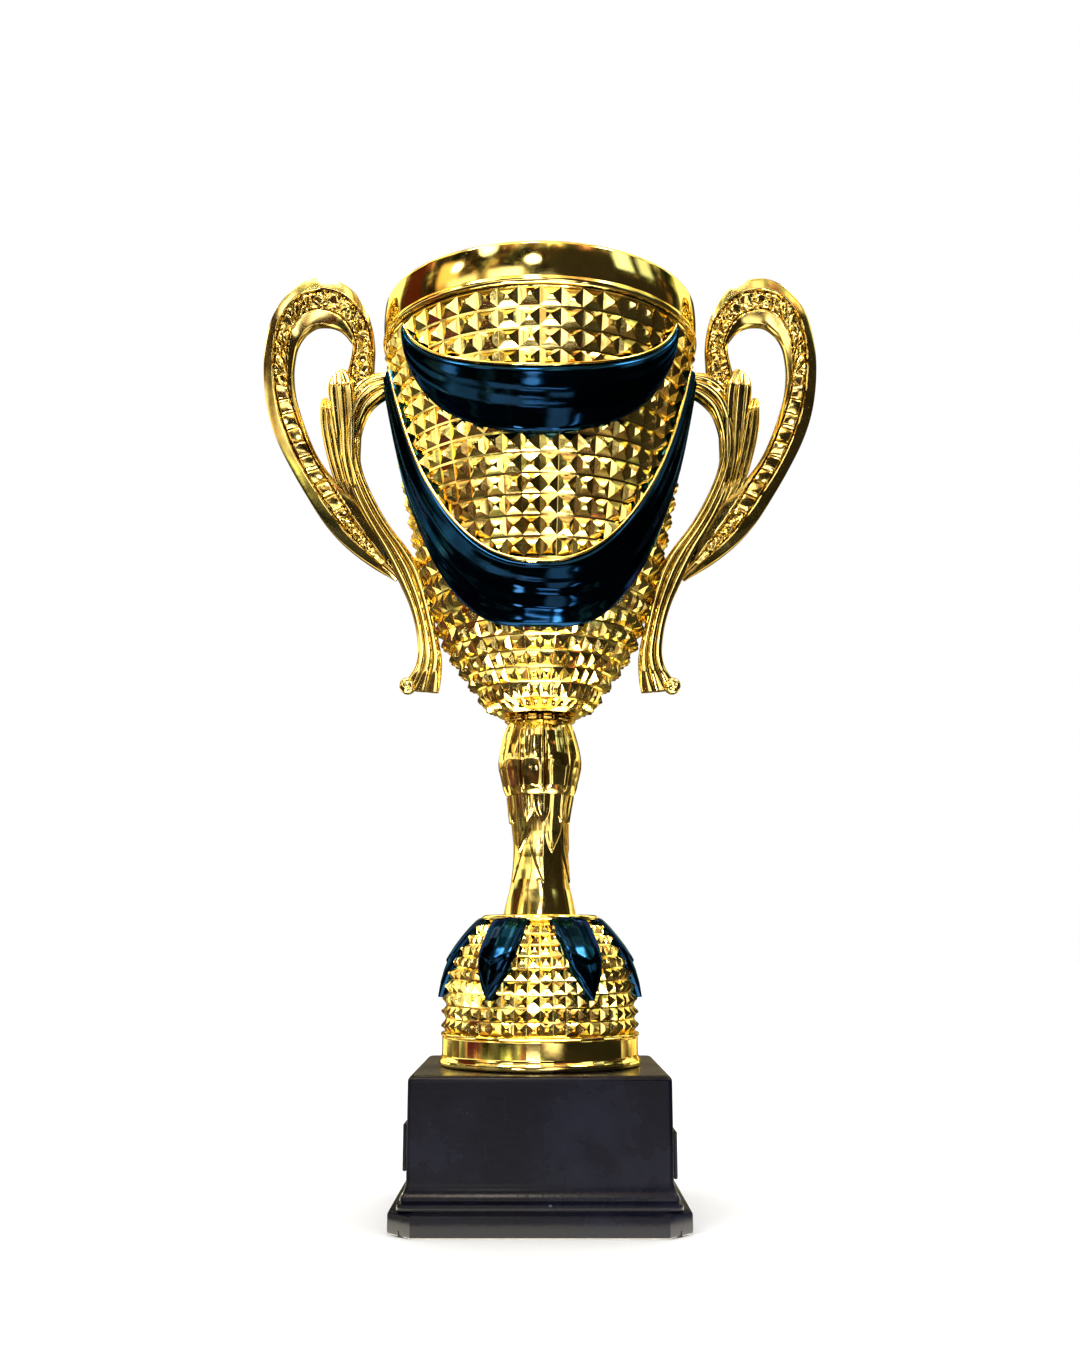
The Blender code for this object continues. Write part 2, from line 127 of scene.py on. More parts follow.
def material(name):
    """A new material: itself, its nodes, its Principled shader and the object coordinates."""
    made = bpy.data.materials.new(name)
    made.use_nodes = True
    nodes = Nodes(made.node_tree)
    shader = nodes.add("BsdfPrincipled")
    nodes.feed(nodes.add("OutputMaterial").inputs["Surface"], shader.outputs[0])
    where = nodes.add("TexCoord").outputs["Object"]
    return made, nodes, shader, where


def gold(name, bright, hollow_shade_colour, roughness, ripple):
    """Vacuum-plated gold with painted shade: bright on the high places, darkened in the hollows and in
    random patches, with a slight ripple.
    """
    made, nodes, shader, where = material(name)
    # Painted shade: pointiness finds the hollows, which take the dark colour; noise adds random darker
    # patches.
    hollow = nodes.smooth(nodes.add("NewGeometry").outputs["Pointiness"], 0.40, 0.52)
    shade = nodes.math("MULTIPLY", hollow, nodes.smooth(nodes.noise(where, 55.0), 0.15, 0.55))
    nodes.wire(shader, Base_Color=nodes.blend(shade, hollow_shade_colour, bright))
    worn = nodes.between(nodes.noise(where, 160.0, 4.0), 0.3, 0.75, *roughness)
    rippled = nodes.bump(nodes.noise(where, 210.0, 2.0), ripple, 0.0006)
    tint = (1.0, 0.86, 0.42, 1.0)
    nodes.wire(shader, Roughness=worn, Normal=rippled, Metallic=1.0, Specular_Tint=tint)
    return made


def lacquer(name):
    """Transparent blue lacquer over plated metal: near black, and bright blue where it catches a light."""
    made, nodes, shader, where = material(name)
    cloud = nodes.noise(where, 38.0, 4.0, 0.6)
    stops = [(0.3, (0.0007, 0.0075, 0.023)), (0.55, (0.0015, 0.017, 0.052)), (0.75, (0.004, 0.042, 0.115))]
    nodes.wire(shader, Base_Color=nodes.ramp(cloud, stops))
    nodes.wire(shader, Roughness=nodes.between(cloud, 0.3, 0.7, 0.06, 0.13))
    nodes.wire(shader, Metallic=1.0, Specular_Tint=(0.12, 0.45, 0.60, 1.0))
    nodes.wire(shader, Coat_Weight=0.06, Coat_Roughness=0.04)
    nodes.wire(shader, Normal=nodes.bump(nodes.noise(where, 130.0, 2.0), 0.14, 0.0008))
    return made


def plastic(name):
    """Black moulded plastic with a navy cast: satin, cloudy from handling, with dust and fine scratches."""
    made, nodes, shader, where = material(name)
    cloud = nodes.smooth(nodes.noise(where, 26.0, 6.0, 0.62), 0.42, 0.75)
    base = nodes.blend(cloud, (0.0025, 0.0028, 0.0068), (0.0068, 0.0076, 0.0185))
    specks = nodes.add("TexVoronoi", Vector=where, Scale=95.0).outputs["Distance"]
    dusty = nodes.smooth(nodes.noise(where, 60.0), 0.56, 0.7)
    dust = nodes.math("MULTIPLY", nodes.smooth(specks, 0.085, 0.03), dusty)
    nodes.wire(shader, Base_Color=nodes.blend(dust, base, (0.32, 0.34, 0.38)))
    lines = nodes.add("Mapping", Vector=where, Rotation=(0.3, 0.5, 0.2), Scale=(420.0, 420.0, 26.0))
    scratches = nodes.smooth(nodes.noise(lines.outputs[0], 1.0, 2.0), 0.66, 0.74)
    satin = nodes.between(cloud, 0.0, 1.0, 0.22, 0.36)
    nodes.wire(shader, Roughness=nodes.math("MULTIPLY_ADD", scratches, 0.1, satin))
    grain = nodes.math("MULTIPLY_ADD", scratches, -0.6, nodes.noise(where, 900.0, 2.0))
    nodes.wire(shader, Normal=nodes.bump(grain, 0.12, 0.0003), Specular_IOR_Level=0.12)
    return made


def steel(name):
    """Zinc-plated steel: crystalline patches and a fine grain."""
    made, nodes, shader, where = material(name)
    patch = nodes.add("TexVoronoi", Vector=where, Scale=700.0).outputs["Color"]
    plain = nodes.blend(nodes.noise(where, 300.0), (0.42, 0.42, 0.40), (0.68, 0.68, 0.66))
    grey = nodes.blend(0.2, plain, patch)
    nodes.wire(shader, Base_Color=nodes.blend(0.85, grey, (0.6, 0.6, 0.58)))
    nodes.wire(shader, Roughness=nodes.smooth(nodes.noise(where, 500.0), -0.6, 1.6))
    nodes.wire(shader, Normal=nodes.bump(nodes.noise(where, 1500.0), 0.1, 0.0002), Metallic=1.0)
    return made


def chalky(name, first, second, scale, rough):
    """A matt porous material, for the plaster ballast and the foam pad."""
    made, nodes, shader, where = material(name)
    pores = nodes.add("TexVoronoi", Vector=where, Scale=scale).outputs["Distance"]
    nodes.wire(shader, Base_Color=nodes.blend(nodes.smooth(pores, 0.1, 0.6), first, second))
    nodes.wire(shader, Normal=nodes.bump(pores, 0.5, 0.0005), Roughness=rough)
    return made


# Each gold's bright colour, its dark colour of painted shade in the hollows, lowest and highest roughness,
# and ripple.
GOLD_STUD = gold("gold_studded", (1.0, 0.83, 0.32), (0.60, 0.37, 0.07), (0.09, 0.17), 0.12)
GOLD_CAST = gold("gold_cast", (0.98, 0.80, 0.29), (0.20, 0.10, 0.02), (0.07, 0.15), 0.05)
# The handles' gold: a darker copy of the cast gold, darkened as painted shade.
GOLD_HANDLE_SHADED = gold("gold_handles_shaded", (0.80, 0.64, 0.24), (0.14, 0.07, 0.015), (0.07, 0.15), 0.05)
# The collar's gold: a much darker copy, darkened as painted shade under the bowl.
GOLD_COLLAR_SHADED = gold("gold_shaded", (0.34, 0.22, 0.06), (0.06, 0.03, 0.008), (0.16, 0.30), 0.1)
GOLD_SMOOTH = gold("gold_smooth", (0.98, 0.81, 0.30), (0.80, 0.54, 0.14), (0.04, 0.10), 0.03)
LACQUER = lacquer("blue_lacquer_gloss")
PLASTIC = plastic("black_plastic_satin")
STEEL = steel("zinc_plated_steel")
# Each matt material's two colours, size of pores (a scale) and roughness.
PLASTER = chalky("plaster", (0.30, 0.28, 0.25), (0.52, 0.50, 0.46), 420.0, 0.9)
FOAM = chalky("foam", (0.008, 0.008, 0.009), (0.035, 0.035, 0.037), 900.0, 0.95)


# ---------------------------------------------------------------- shape helpers

# They take millimetres; piece() turns them into metres.


def in_scene(name, data):
    """A new object in the scene for a mesh, lamp or camera."""
    obj = bpy.data.objects.new(name, data)
    bpy.context.scene.collection.objects.link(obj)
    return obj


def on_trophy(name, mesh, slot, replaced):
    """An object for this mesh, on the trophy's one body, in place of the CAD nodes it replaces."""
    obj = in_scene(name, mesh)
    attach(obj, "root")
    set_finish(obj, slot)
    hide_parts(*replaced)
    return obj


def piece(name, verts, faces, look, slot, replaced=(), sharp=None):
    """A mesh piece from points in millimetres, smooth-shaded but for edges over `sharp` degrees."""
    mesh = bpy.data.meshes.new(name)
    mesh.from_pydata((np.asarray(verts, float) * MM).tolist(), [], faces)
    bm = bmesh.new()
    bm.from_mesh(mesh)
    bmesh.ops.recalc_face_normals(bm, faces=bm.faces)
    bm.to_mesh(mesh)
    bm.free()
    mesh.materials.append(look)
    mesh.shade_smooth()
    if sharp is not None:
        mesh.set_sharp_from_angle(angle=math.radians(sharp))
    return on_trophy(name, mesh, slot, replaced)


def mirrored(source, name, replaced=()):
    """The same piece on the other side of the cup, mirrored in X."""
    mesh = source.data.copy()
    mesh.name = name
    for vertex in mesh.vertices:
        vertex.co.x = -vertex.co.x
    mesh.flip_normals()
    return on_trophy(name, mesh, source["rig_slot"], replaced)


def through(points, per_span):
    """Catmull-Rom points through rows of numbers."""
    rows = np.asarray(points, float)
    rows = np.vstack([2 * rows[0] - rows[1], rows, 2 * rows[-1] - rows[-2]])
    out = []
    for a, b, c, d in zip(rows, rows[1:], rows[2:], rows[3:]):
        for step in range(per_span):
            t = step / per_span
            squared = (2 * a - 5 * b + 4 * c - d) * t**2
            cubed = (3 * b - a - 3 * c + d) * t**3
            out.append(0.5 * (2 * b + (c - a) * t + squared + cubed))
    out.append(rows[-2])
    return np.array(out)


def evenly(rows, spots, step):
    """Rows picked again at even distances along the line of points `spots`, and those distances."""
    gone = np.concatenate([[0.0], np.cumsum(np.linalg.norm(np.diff(spots, axis=0), axis=1))])
    count = max(2, round(gone[-1] / step) + 1)
    wanted = np.linspace(0.0, gone[-1], count)
    return np.stack([np.interp(wanted, gone, rows[:, k]) for k in range(rows.shape[1])], axis=1), wanted


def loop_faces(rows, columns, closed_rows):
    """Quads of a grid whose columns close up, and whose rows do too if closed_rows."""
    faces = []
    for i in range(rows if closed_rows else rows - 1):
        j = (i + 1) % rows
        for k in range(columns):
            n = (k + 1) % columns
            faces.append((i * columns + k, i * columns + n, j * columns + n, j * columns + k))
    return faces


def end_caps(columns, count):
    """The two faces that close a tube of `count` points, whose rings have this many columns."""
    return [tuple(range(columns)), tuple(range(count - 1, count - 1 - columns, -1))]


def turned(name, profile, look, slot, replaced=(), steps=192, sharp=35, wave=None):
    """A closed (radius, height) profile turned about Z. wave(index, angle) adds to the radius."""
    verts = []
    for index, (radius, height) in enumerate(profile):
        for k in range(steps):
            angle = TAU * k / steps
            r = radius + (wave(index, angle) if wave else 0.0)
            verts.append((r * math.sin(angle), -r * math.cos(angle), height))
    return piece(name, verts, loop_faces(len(profile), steps, True), look, slot, replaced, sharp)


def rounded(corners, radius, segments=3):
    """A closed outline with each corner replaced by a small arc-like curve."""
    out = []
    count = len(corners)
    for index in range(count):
        before, here, after = (Vector(corners[(index + k) % count]) for k in (-1, 0, 1))
        cut = min(radius, (before - here).length * 0.45, (after - here).length * 0.45)
        back, ahead = (before - here).normalized() * cut, (after - here).normalized() * cut
        out.append(tuple(here + back * 1.1))
        for step in range(segments + 1):
            t = step / segments
            out.append(tuple((1 - t) ** 2 * (here + back) + 2 * t * (1 - t) * here + t**2 * (here + ahead)))
        out.append(tuple(here + ahead * 1.1))
    return out


class Turned:
    """Outer radius of a turned CAD node at a height, read from its mesh on the front."""

    def __init__(self, node):
        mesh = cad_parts[node].data
        self.tree = BVHTree.FromPolygons([v.co for v in mesh.vertices], [p.vertices for p in mesh.polygons])
        low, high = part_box(node)
        self.low, self.high = low.z / MM, high.z / MM

    def radius(self, height):
        clamped = min(max(height, self.low + 0.02), self.high - 0.02) * MM
        hit = self.tree.ray_cast(Vector((1e-5, -0.5, clamped)), Vector((0.0, 1.0, 0.0)))[0]
        return -hit.y / MM

    def profile(self, top, low, count=240):
        """(radius, height) rows from top to low."""
        heights = np.linspace(top, low, count)
        return np.array([(self.radius(z), z) for z in heights])


# ---------------------------------------------------------------- studded walls

BOWL = Turned("bowl_shell")
DOME = Turned("foot_dome")
ROD_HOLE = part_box("tie_rod")[1].x / MM + 0.4  # radius of the hole that the rod passes through


def outward(rows):
    """Unit normals, pointing away from the axis, of (radius, height) rows that run downwards."""
    along = np.gradient(rows, axis=0)
    normals = np.stack([-along[:, 1], along[:, 0]], axis=1)
    return normals / np.linalg.norm(normals, axis=1, keepdims=True)


SIDE_BORDER = 0.008  # flat strip on each side of a stud, as a share of its cell


class Wall:
    """Rings of points round the Z axis, joined up one after another into a closed turned mesh."""

    def __init__(self):
        self.verts = []
        self.faces = []
        self.last = None

    def spot(self, radius, height, angle):
        self.verts.append((radius * math.sin(angle), -radius * math.cos(angle), height))
        return len(self.verts) - 1

    def join(self, ring):
        """Fills the strip between the last ring and this one, whatever their counts."""
        if self.last is not None:
            a, b = self.last, ring
            i = j = 0
            while i < len(a) or j < len(b):
                if len(a) == len(b):
                    self.faces.append((a[i], a[(i + 1) % len(a)], b[(j + 1) % len(b)], b[j]))
                    i, j = i + 1, j + 1
                elif j >= len(b) or (i < len(a) and (i + 1) / len(a) <= (j + 1) / len(b)):
                    self.faces.append((a[i % len(a)], a[(i + 1) % len(a)], b[j % len(b)]))
                    i += 1
                else:
                    self.faces.append((a[i % len(a)], b[(j + 1) % len(b)], b[j % len(b)]))
                    j += 1
        self.last = ring

    def ring(self, radius, height, angles):
        self.join([self.spot(radius, height, angle) for angle in angles])

    def studs(self, profile, pitch, cells, base, tip, seed):
        """Rows of four-sided studs with hollowed faces, down a (radius, height) profile.

        base and tip are their lifts off the profile. Each stud leans and rises a little differently.
        """
        spots, gone = evenly(profile, profile, 0.25)
        normals = outward(spots)
        rows = round(gone[-1] / pitch)

        def place(row, cell, down, across, lift):
            at = (row + down) / rows * gone[-1]
            radius, height, nr, nz = (np.interp(at, gone, line) for line in (*spots.T, *normals.T))
            return self.spot(radius + nr * lift, height + nz * lift, TAU * (cell + across) / cells)

        edge, side = 0.055, SIDE_BORDER
        corners = ((edge, side), (edge, 1 - side), (1 - edge, 1 - side), (1 - edge, side))
        for row in range(rows):
            top, low = [], []
            for cell in range(cells):
                samples = [Vector((cell * 1.37 + k * 9.1, row * 1.73, seed)) for k in range(3)]
                wander = [0.17 * noise.noise(sample) for sample in samples]
                rise = tip * (1 + 1.6 * wander[2])
                rings = [[place(row, cell, down, across, base) for down, across in corners]]
                for inset, lift in ((0.30, base + 0.44 * (rise - base)), (0.455, rise)):
                    far = 1 - inset
                    share = (inset - edge) / 0.4
                    slip_down, slip_across = wander[0] * share, wander[1] * share
                    shape = ((inset, inset), (inset, far), (far, far), (far, inset))
                    rings.append([place(row, cell, d + slip_down, a + slip_across, lift) for d, a in shape])
                for outer, inner in zip(rings, rings[1:]):
                    for k in range(4):
                        n = (k + 1) % 4
                        self.faces.append((outer[k], outer[n], inner[n], inner[k]))
                self.faces.append(tuple(rings[-1]))
                top += [rings[0][0], rings[0][1]]
                low += [rings[0][3], rings[0][2]]
            self.join(top)
            for cell in range(cells):
                right = (2 * cell + 1, (2 * cell + 2) % (2 * cells))
                self.faces.append((top[right[0]], top[right[1]], low[right[1]], low[right[0]]))
            self.last = low


def ring_angles(cells):
    """The angles of the two sides of every stud in a row."""
    return [TAU * (cell + spot) / cells for cell in range(cells) for spot in (SIDE_BORDER, 1 - SIDE_BORDER)]


def build_bowl():
    """Two sizes of studs outside, and a smooth wall and floor inside."""
    many, few, change = 48, 38, 214.0
    upper, lower = ring_angles(many), ring_angles(few)
    top, low = BOWL.high, BOWL.low
    wall, floor = 2.0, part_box("tie_rod_washer_top")[0].z / MM - 0.3
    bowl = Wall()
    bowl.ring(BOWL.radius(top) - wall, top, upper)
    first = bowl.last
    bowl.ring(BOWL.radius(top) - 0.6, top, upper)
    bowl.studs(BOWL.profile(top - 0.1, change), pitch=7.7, cells=many, base=-0.9, tip=1.15, seed=4.0)
    bowl.studs(BOWL.profile(change - 0.1, low + 0.3), pitch=6.0, cells=few, base=-0.8, tip=1.2, seed=8.0)
    bowl.ring(BOWL.radius(low) - 1.2, low, lower)
    bowl.ring(ROD_HOLE, low, lower)
    bowl.ring(ROD_HOLE, floor, lower)
    inner = BOWL.profile(top, floor + 2.5, 60)
    inside = [(r, z) for r, z in inner - outward(inner) * wall if z > floor + 2.5]
    bowl.ring(inside[-1][0] - 3.0, floor, lower)
    bowl.ring(inside[-1][0] - 0.8, floor + 0.6, lower)
    for radius, height in reversed(inside):
        bowl.ring(radius, height, upper)
    bowl.join(first)
    piece("bowl_studded", bowl.verts, bowl.faces, GOLD_STUD, "gold_plate", ["bowl_shell"], 20)


def build_foot():
    """A studded dome over a bead, a polished upright band and a rolled lip, hollow inside."""
    cells, bead_z, shoulder, wall = 48, 61.2, 100.4, 1.6
    low, high = DOME.low, DOME.high
    foot_r, band_r = DOME.radius(low + 0.5), DOME.radius(57.0)
    angles = ring_angles(cells)
    foot = Wall()
    foot.ring(ROD_HOLE, high, angles)
    first = foot.last
    foot.ring(19.6, high, angles)
    foot.studs(DOME.profile(shoulder, bead_z + 0.9), pitch=4.45, cells=cells, base=-0.6, tip=0.95, seed=2.0)
    turns = np.linspace(0.35, 2.8, 7)
    bead = [(band_r - 0.5 + 1.1 * math.sin(a), bead_z + 0.75 * math.cos(a)) for a in turns]
    upright = [(0.02, 60.2), (0.05, 59.9), (0.05, 54.3), (0.1, 54.0), (0.35, 53.2)]
    lip = [(0.15, 52.4), (0.25, 51.6), (0.1, 50.8), (-0.25, low)]
    outside = [*bead, *((band_r + out, z) for out, z in upright), *((foot_r + out, z) for out, z in lip)]
    inner = DOME.profile(high - 2.0, low + 4.0, 24)
    inside = [(r, z) for r, z in inner - outward(inner) * wall if z < high - wall - 1]
    for radius, height in [*outside, (foot_r - wall, low), *reversed(inside), (ROD_HOLE, high - wall)]:
        foot.ring(radius, height, angles)
    foot.join(first)
    studded = piece("foot_studded", foot.verts, foot.faces, GOLD_STUD, "gold_plate", ["foot_dome"], 22).data
    studded.materials.append(GOLD_SMOOTH)
    for face in studded.polygons:
        outer = math.hypot(face.center.x, face.center.y) > (band_r - 1.0) * MM
        if outer and face.center.z < (bead_z - 0.4) * MM:
            face.material_index = 1


# ---------------------------------------------------------------- rim, stem


def build_rim():
    """The rim's slightly bulged mirror band, the bead under it and the step that holds it in the bowl."""
    low, high = (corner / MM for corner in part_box("rim_band"))
    edge = high.x
    top = high.z
    shares = np.linspace(0, 1, 17)
    bulge = [(edge - 0.6 + 0.4 * math.sin(math.pi * t), top - 1.0 - 12.9 * t) for t in shares]
    corners = [
        (edge - 2.7, top),
        (edge - 1.1, top),
        *bulge,
        (edge, top - 14.6),
        (edge, top - 15.9),
        (edge - 0.8, top - 16.6),
        (edge - 3.5, top - 16.6),
        (edge - 4.8, top - 17.9),
        (edge - 5.6, low.z),
        (edge - 6.6, low.z),
        (edge - 5.8, top - 16.9),
        (edge - 3.0, top - 12.5),
    ]
    turned("rim_polished", rounded(corners, 0.7), GOLD_SMOOTH, "gold_plate", ["rim_band"], 256, 60)


def hanging_leaves(angle, height, top, tips, count, turn):
    """Relief, 0 to 1, of a ring of pointed leaves that hang down a column from top to tips."""
    share = min(1.0, max(0.0, (top - height) / (top - tips)))
    off = abs(((angle - turn) * count / TAU + 0.5) % 1.0 - 0.5) * 2
    width = 0.96 * math.cos(math.pi / 2 * max(0.0, (share - 0.25) / 0.75) ** 1.3)
    if share >= 1.0 or off >= width:
        return 0.0
    inside = off / width
    return (1 - inside**4) ** 0.5 * (0.75 + 0.35 * max(0.0, 1 - 3.5 * inside) - 0.25 * inside**2)


def build_column():
    """The waisted column, with three overlapping rings of leaves hanging down it."""
    column = Turned("stem_column")
    rows = [*column.profile(column.high, column.low, 130)]
    first = 0.12

    def wave(index, angle):
        if index >= len(rows):
            return 0.0
        height = rows[index][1]
        upper = 1.5 * hanging_leaves(angle, height, 147.2, 137.0, 10, first)
        middle = 1.0 * hanging_leaves(angle, height, 150.0, 126.0, 5, first + TAU / 20)
        lower = 0.6 * hanging_leaves(angle, height, 152.0, 115.0, 5, first)
        dent = 0.45 * noise.noise(Vector((math.sin(angle) * 2.0, math.cos(angle) * 2.0, height * 0.09)))
        return max(upper, middle, lower) - 0.35 + dent

    profile = [*rows, (ROD_HOLE, column.low), (ROD_HOLE, column.high)]
    turned("stem_leafed", profile, GOLD_CAST, "gold_plate", ["stem_column"], 300, 50, wave)


def build_knop():
    """The knop's ten lobes, with a fillet on each side, two flutes above and a flat panel below."""
    knop = Turned("stem_knop")
    bulge = [*knop.profile(knop.high, knop.low, 80)]
    lobes = 10

    def wave(index, angle):
        if index >= len(bulge):
            return 0.0
        share = index / (len(bulge) - 1)
        across = (((angle - 0.12) * lobes / TAU) % 1.0) * 2 - 1
        ends = min(1.0, 7 * share, 9 * (1 - share))
        lobe = (1 - abs(across) ** 2.6) ** 0.5
        fillet = 0.6 * max(0.0, 1 - 8 * abs(abs(across) - 0.88))
        drop = math.sin(math.pi * min(1.0, share / 0.5)) ** 0.7
        flutes = 0.2 * drop * math.exp(-(((abs(across) - 0.42) / 0.22) ** 2))
        panel = 0.5 * math.exp(-(((share - 0.72) / 0.15) ** 2) - (across / 0.5) ** 2)
        dent = 0.35 * noise.noise(Vector((math.sin(angle) * 3, math.cos(angle) * 3, share * 4)))
        return ends * (1.6 * lobe - 1.2 + fillet - flutes - panel + dent)

    profile = [*bulge, (ROD_HOLE, knop.low), (ROD_HOLE, knop.high)]
    turned("knop_lobed", profile, GOLD_CAST, "gold_plate", ["stem_knop"], 320, 45, wave)


def build_collar():
    """The collar under the bowl, with fourteen notches, in gold darkened by painted shade."""
    notches = 14
    low, high = (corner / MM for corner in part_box("stem_collar"))
    edge = high.x
    upper = [(ROD_HOLE, high.z), (edge - 0.6, high.z), (edge, high.z - 0.7)]
    under = [(edge, low.z + 0.7), (edge - 0.7, low.z), (ROD_HOLE, low.z)]
    section = rounded(upper + under, 0.3)

    def wave(index, angle):
        if section[index][0] < ROD_HOLE + 2:
            return 0.0
        return 0.5 - 2.4 * max(0.0, math.cos(notches * angle) - 0.1) ** 0.4

    turned("collar_notched", section, GOLD_COLLAR_SHADED, "gold_plate", ["stem_collar"], 288, 40, wave)


def build_base_disc():
    """The thin disc under the column, with a rolled edge."""
    low, high = (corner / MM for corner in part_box("stem_base_disc"))
    edge = high.x
    middle = (low.z + high.z) / 2
    turns = np.linspace(1.5, -1.5, 13)
    roll = [(edge - 0.9 + 1.3 * math.cos(a), middle - 0.3 + 1.3 * math.sin(a)) for a in turns]
    upper = [(ROD_HOLE, high.z), (13.5, high.z), (15.5, high.z - 0.15), (edge - 2.4, high.z - 0.35)]
    section = [*upper, *roll, (edge - 2.4, low.z), (ROD_HOLE, low.z)]
    turned("disc_rolled", section, GOLD_SMOOTH, "gold_plate", ["stem_base_disc"], 192, 60)


# ---------------------------------------------------------------- swags and petals


def shell_on(name, surface, point, across, along, look, slot, replaced, turn):
    """A closed cushion laid on a turned wall. point(u, v) gives (angle, height, outer lift, inner lift)."""
    spots = [(u, v) for u in np.linspace(-1, 1, across + 1) for v in np.linspace(-1, 1, along + 1)]
    front, back = [], []
    for u, v in spots:
        angle, height, outer, inner = point(u, v)
        radius = surface.radius(height)
        slope = (surface.radius(height + 1) - surface.radius(height - 1)) / 2
        lean = math.atan(slope)
        for lift, store in ((outer, front), (inner, back)):
            r = radius + lift * math.cos(lean)
            z = height - lift * math.sin(lean)
            store.append((r * math.sin(angle + turn), -r * math.cos(angle + turn), z))
    wide = along + 1
    offset = len(front)
    faces = []
    for i in range(across):
        for j in range(along):
            a, b, c, d = i * wide + j, i * wide + j + 1, (i + 1) * wide + j + 1, (i + 1) * wide + j
            faces.append((a, b, c, d))
            faces.append((offset + a, offset + d, offset + c, offset + b))
    border = [i * wide for i in range(across + 1)]
    border += [across * wide + j for j in range(1, wide)]
    border += [i * wide + along for i in range(across - 1, -1, -1)]
    border += [j for j in range(along - 1, 0, -1)]
    for a, b in zip(border, border[1:] + border[:1]):
        faces.append((a, b, offset + b, offset + a))
    return piece(name, front + back, faces, look, slot, replaced, 55)


def tube(name, points, radius, look, slot, sides=10):
    """A closed round wire along points, tapered at its ends."""
    points = [Vector(p) for p in points]
    verts, faces = [], []
    for index, spot in enumerate(points):
        ahead = points[min(index + 1, len(points) - 1)] - points[max(index - 1, 0)]
        ahead.normalize()
        side = ahead.cross(Vector((spot.x, spot.y, 0.0))).normalized()
        up = side.cross(ahead)
        ends = min(index, len(points) - 1 - index)
        size = radius * min(1.0, 0.25 + 0.25 * ends)
        for k in range(sides):
            angle = TAU * k / sides
            verts.append(tuple(spot + (side * math.cos(angle) + up * math.sin(angle)) * size))
    faces = loop_faces(len(points), sides, False)
    faces += end_caps(sides, len(verts))
    return piece(name, verts, faces, look, slot, (), 60)


# Edges of the swags. Upper ones: end angle, end height, sag and power of the curve. Lower ones: end angle,
# lowest height, rise and power.
UPPER_TOP = (math.radians(56.1), 322.1, 27.2, 1.25)
UPPER_BOTTOM = (math.radians(57.0), 318.9, 47.5, 1.0)
LOWER_TOP = (math.radians(77.0), 226.5, 86.0, 2.4)
LOWER_BOTTOM = (math.radians(83.5), 204.8, 98.0, 3.25)


def upper_edge(edge, along):
    """(angle, height) on a crescent's edge, for along from -1 to 1."""
    end_angle, end_height, sag, power = edge
    turn = 0.97 * math.pi / 2 * abs(along)
    return math.copysign(end_angle * math.sin(turn), along), end_height - sag * math.cos(turn) ** power


def lower_edge(edge, along):
    """(angle, height) on a hanging garland's edge, for along from -1 to 1."""
    end_angle, low_height, rise, power = edge
    return end_angle * along, low_height + rise * abs(along) ** power


def build_swag(name, node, edge, top, bottom, pleats, turn):
    """A draped swag between two edges, with soft folds along it and a gold wire on its upper edge."""

    def point(u, v):
        share = (1 + v) / 2
        (top_angle, top_height), (low_angle, low_height) = edge(top, u), edge(bottom, u)
        angle = low_angle + (top_angle - low_angle) * share
        height = low_height + (top_height - low_height) * share
        width = max(0.15, min(1.0, math.hypot(top_height - low_height, 50 * (top_angle - low_angle)) / 11))
        crown = max(0.0, 1 - v * v) ** 0.5
        fold = pleats * crown * math.cos(TAU * (3.1 * share + 0.16 * math.sin(2.6 * u) + 0.1 * u))
        return angle, height, 1.3 + width * (2.1 * crown + fold), -1.2

    shell_on(name, BOWL, point, 120, 22, LACQUER, "blue_lacquer", [node], turn)
    line = []
    for u in np.linspace(-1, 1, 81):
        angle, height = edge(top, u)
        r = BOWL.radius(height + 0.5) + 1.15
        line.append((r * math.sin(angle + turn), -r * math.cos(angle + turn), height + 0.5))
    tube(name + "_edge", line, 0.62, GOLD_SMOOTH, "gold_plate")


def build_swags():
    swags = (
        ("upper", upper_edge, UPPER_TOP, UPPER_BOTTOM, 0.11),
        ("lower", lower_edge, LOWER_TOP, LOWER_BOTTOM, 0.30),
    )
    for side, turn in (("front", 0.0), ("back", math.pi)):
        for place, edge, top, bottom, pleats in swags:
            build_swag(f"{place}_drape_{side}", f"{place}_swag_{side}", edge, top, bottom, pleats, turn)


def build_petals():
    """Six pointed petals on the dome, thickest at a bend past their middle, with a rib down them."""
    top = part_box("dome_petal_1")[1].z / MM - 0.2
    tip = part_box("dome_petal_1")[0].z / MM + 0.6
    break_at = 0.56

    def point(u, v):
        share = (1 - v) / 2
        height = top + (tip - top) * share
        past = max(0.0, (share - 0.35) / 0.65)
        half = 7.4 * math.cos(math.radians(86) * past)
        bend = break_at - 0.12 * abs(u)
        if share < bend:
            lift = 0.7 + 1.3 * (share / bend) ** 1.5
        else:
            lift = 1.4 + 0.5 * (share - bend) / (1 - bend)
        crown = max(0.0, 1 - u * u) ** 0.5
        rib = 0.3 * max(0.0, 1 - abs(u) * 4)
        return u * half / DOME.radius(height), height, 0.8 + lift * crown + rib * (1 - share), -0.6

    for index in range(6):
        turn = math.radians(30 + 60 * index)
        node = f"dome_petal_{index + 1}"
        shell_on(f"petal_{index + 1}", DOME, point, 20, 44, LACQUER, "blue_lacquer", [node], turn)


# ---------------------------------------------------------------- handles

